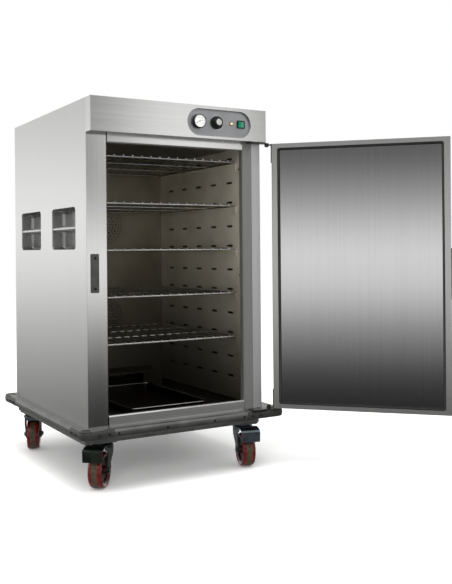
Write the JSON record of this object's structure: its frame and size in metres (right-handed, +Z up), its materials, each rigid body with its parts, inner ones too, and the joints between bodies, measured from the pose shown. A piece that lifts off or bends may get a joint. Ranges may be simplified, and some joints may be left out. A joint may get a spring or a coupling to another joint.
{
  "type": "heated food holding cabinet",
  "caption": "Insulated mobile cabinet that keeps food trays hot: one side-hung door, wire shelves, slotted air ducts, controls in a header and swivel casters.",
  "frame": {"origin": "middle of the underside of the whole object's box, with the door standing open at its rest angle; the wheels stand on Z = 0", "axes": "+Z up, +Y from the door side to the rear panel, +X towards the hinge side"},
  "size_m": [1.2626, 1.3964, 1.33],
  "materials": {
    "outer_steel": "fine brushed stainless sheet",
    "frame_steel": "brushed stainless folded sections",
    "inner_steel": "bright rolled stainless liner sheet",
    "door_panel_steel": "long vertical brushing",
    "polished_rod": "electropolished stainless wire and rod",
    "buffer_profile": "satin drawn profile",
    "corner_plastic": "dark grey moulded corner",
    "insulation": "mineral wool board",
    "motor_metal": "die-cast and pressed fan parts",
    "element_sheath": "heat-tinted element sheath",
    "latch_black": "black coated latch castings",
    "hinge_steel": "plated hinge plates and pins",
    "black_plastic": "moulded black plastic",
    "control_dish": "satin pressed dish",
    "dial_white": "white dial in a black bezel",
    "clear_lens": "clear flat lens",
    "amber_lens": "amber moulded lens",
    "green_rocker": "green translucent rocker",
    "black_silicone": "black silicone seal",
    "zinc_plate": "bright zinc-plated pressed steel",
    "red_tread": "dark red cast polyurethane tread on a core"
  },
  "bodies": {
    "cabinet": {"base_frame": "frame_steel", "bumper_rails": "buffer_profile", "bumper_corners": "corner_plastic", "left_side_panel": "outer_steel", "right_side_panel": "outer_steel", "rear_panel": "outer_steel", "top_panel": "outer_steel", "header_fascia": "outer_steel", "left_stile": "frame_steel", "right_stile": "frame_steel", "hinge_post": "frame_steel", "top_rail": "frame_steel", "front_sill": "frame_steel", "cabinet_insulation": "insulation", "inner_liner": "inner_steel", "duct_panels": "inner_steel", "rear_baffle": "inner_steel", "fan_motors": "motor_metal", "heating_element": "element_sheath", "shelf_runners": "inner_steel", "handle_pockets": "inner_steel", "handle_bars": "polished_rod", "strike_plate": "latch_black", "hinge_brackets": "hinge_steel", "power_inlet": "black_plastic", "control_plate": "control_dish", "thermometer_case": "dial_white", "thermometer_lens": "clear_lens", "thermostat_body": "black_plastic", "pilot_lamp": "amber_lens", "switch_housing": "black_plastic", "caster_plates": "zinc_plate"},
    "door": {"door_outer_skin": "outer_steel", "door_inner_panel": "door_panel_steel", "door_insulation": "insulation", "door_gasket": "black_silicone", "door_hinge_leaves": "hinge_steel", "latch_housing": "latch_black"},
    "latch_pull": {"latch_lever": "latch_black"},
    "needle": {"thermometer_needle": "black_plastic"},
    "knob": {"thermostat_knob": "black_plastic"},
    "rocker": {"switch_rocker": "green_rocker"},
    "pan": {"water_pan": "inner_steel"},
    "upper_fan": {"fan_impeller_upper": "motor_metal"},
    "lower_fan": {"fan_impeller_lower": "motor_metal"},
    "shelf_1": {"wire_shelf_1": "polished_rod"},
    "shelf_2": {"wire_shelf_2": "polished_rod"},
    "shelf_3": {"wire_shelf_3": "polished_rod"},
    "shelf_4": {"wire_shelf_4": "polished_rod"},
    "shelf_5": {"wire_shelf_5": "polished_rod"},
    "swivel_front_left": {"fork_front_left": "zinc_plate"},
    "wheel_front_left": {"wheel_front_left": "red_tread"},
    "pedal_front_left": {"brake_pedal_front_left": "zinc_plate"},
    "swivel_front_right": {"fork_front_right": "zinc_plate"},
    "wheel_front_right": {"wheel_front_right": "red_tread"},
    "pedal_front_right": {"brake_pedal_front_right": "zinc_plate"},
    "swivel_rear_left": {"fork_rear_left": "zinc_plate"},
    "wheel_rear_left": {"wheel_rear_left": "red_tread"},
    "swivel_rear_right": {"fork_rear_right": "zinc_plate"},
    "wheel_rear_right": {"wheel_rear_right": "red_tread"}
  },
  "joints": [
    {"name": "door_hinge", "type": "hinge", "parent": "cabinet", "child": "door", "pos_m": [0.11665, -0.1948, 0], "axis": [0, 0, 1], "range_deg": [-133.3, 46.7]},
    {"name": "latch_pull", "type": "hinge", "parent": "door", "child": "latch_pull", "pos_m": [0.58874, -0.61557, 0], "axis": [0, 0, 1], "range_deg": [0, 32], "stiffness_Nm_per_rad": 0.6},
    {"name": "thermometer_needle", "type": "hinge", "parent": "cabinet", "child": "needle", "pos_m": [-0.18535, -0.2148, 1.273], "axis": [0, -1, 0], "range_deg": [-240, 0]},
    {"name": "thermostat_knob", "type": "hinge", "parent": "cabinet", "child": "knob", "pos_m": [-0.11135, -0.2148, 1.273], "axis": [0, 1, 0], "range_deg": [0, 270]},
    {"name": "power_rocker", "type": "hinge", "parent": "cabinet", "child": "rocker", "pos_m": [-0.00935, -0.2128, 1.273], "axis": [0, 0, 1], "range_deg": [-16, 0]},
    {"name": "upper_fan_spin", "type": "hinge", "parent": "cabinet", "child": "upper_fan", "pos_m": [-0.24935, 0.5742, 0.928], "axis": [0, 1, 0], "continuous": true},
    {"name": "lower_fan_spin", "type": "hinge", "parent": "cabinet", "child": "lower_fan", "pos_m": [-0.24935, 0.5742, 0.534], "axis": [0, 1, 0], "continuous": true},
    {"name": "water_pan_lift", "type": "slide", "parent": "cabinet", "child": "pan", "axis": [0, 0, 1], "range_m": [0, 0.12]},
    {"name": "shelf_1_slide", "type": "slide", "parent": "cabinet", "child": "shelf_1", "axis": [0, -1, 0], "range_m": [0, 0.6]},
    {"name": "shelf_2_slide", "type": "slide", "parent": "cabinet", "child": "shelf_2", "axis": [0, -1, 0], "range_m": [0, 0.6]},
    {"name": "shelf_3_slide", "type": "slide", "parent": "cabinet", "child": "shelf_3", "axis": [0, -1, 0], "range_m": [0, 0.6]},
    {"name": "shelf_4_slide", "type": "slide", "parent": "cabinet", "child": "shelf_4", "axis": [0, -1, 0], "range_m": [0, 0.6]},
    {"name": "shelf_5_slide", "type": "slide", "parent": "cabinet", "child": "shelf_5", "axis": [0, -1, 0], "range_m": [0, 0.6]},
    {"name": "swivel_front_left", "type": "hinge", "parent": "cabinet", "child": "swivel_front_left", "pos_m": [-0.50335, -0.0768, 0.16], "axis": [0, 0, 1], "continuous": true},
    {"name": "roll_front_left", "type": "hinge", "parent": "swivel_front_left", "child": "wheel_front_left", "pos_m": [-0.52456, -0.10207, 0.0625], "axis": [0.766, -0.6428, 0], "continuous": true},
    {"name": "brake_front_left", "type": "hinge", "parent": "swivel_front_left", "child": "pedal_front_left", "pos_m": [-0.50463, -0.07833, 0.13], "axis": [0.766, -0.6428, 0], "range_deg": [0, 5]},
    {"name": "swivel_front_right", "type": "hinge", "parent": "cabinet", "child": "swivel_front_right", "pos_m": [0.06565, -0.0908, 0.16], "axis": [0, 0, 1], "continuous": true},
    {"name": "roll_front_right", "type": "hinge", "parent": "swivel_front_right", "child": "wheel_front_right", "pos_m": [0.05656, -0.12252, 0.0625], "axis": [0.9613, -0.2756, 0], "continuous": true},
    {"name": "brake_front_right", "type": "hinge", "parent": "swivel_front_right", "child": "pedal_front_right", "pos_m": [0.0651, -0.09272, 0.13], "axis": [0.9613, -0.2756, 0], "range_deg": [0, 5]},
    {"name": "swivel_rear_left", "type": "hinge", "parent": "cabinet", "child": "swivel_rear_left", "pos_m": [-0.54935, 0.55021, 0.16], "axis": [0, 0, 1], "continuous": true},
    {"name": "roll_rear_left", "type": "hinge", "parent": "swivel_rear_left", "child": "wheel_rear_left", "pos_m": [-0.53699, 0.5808, 0.0625], "axis": [-0.9272, 0.3746, 0], "continuous": true},
    {"name": "swivel_rear_right", "type": "hinge", "parent": "cabinet", "child": "swivel_rear_right", "pos_m": [0.05565, 0.55021, 0.16], "axis": [0, 0, 1], "continuous": true},
    {"name": "roll_rear_right", "type": "hinge", "parent": "swivel_rear_right", "child": "wheel_rear_right", "pos_m": [0.07165, 0.57907, 0.0625], "axis": [-0.8746, 0.4848, 0], "continuous": true}
  ]
}
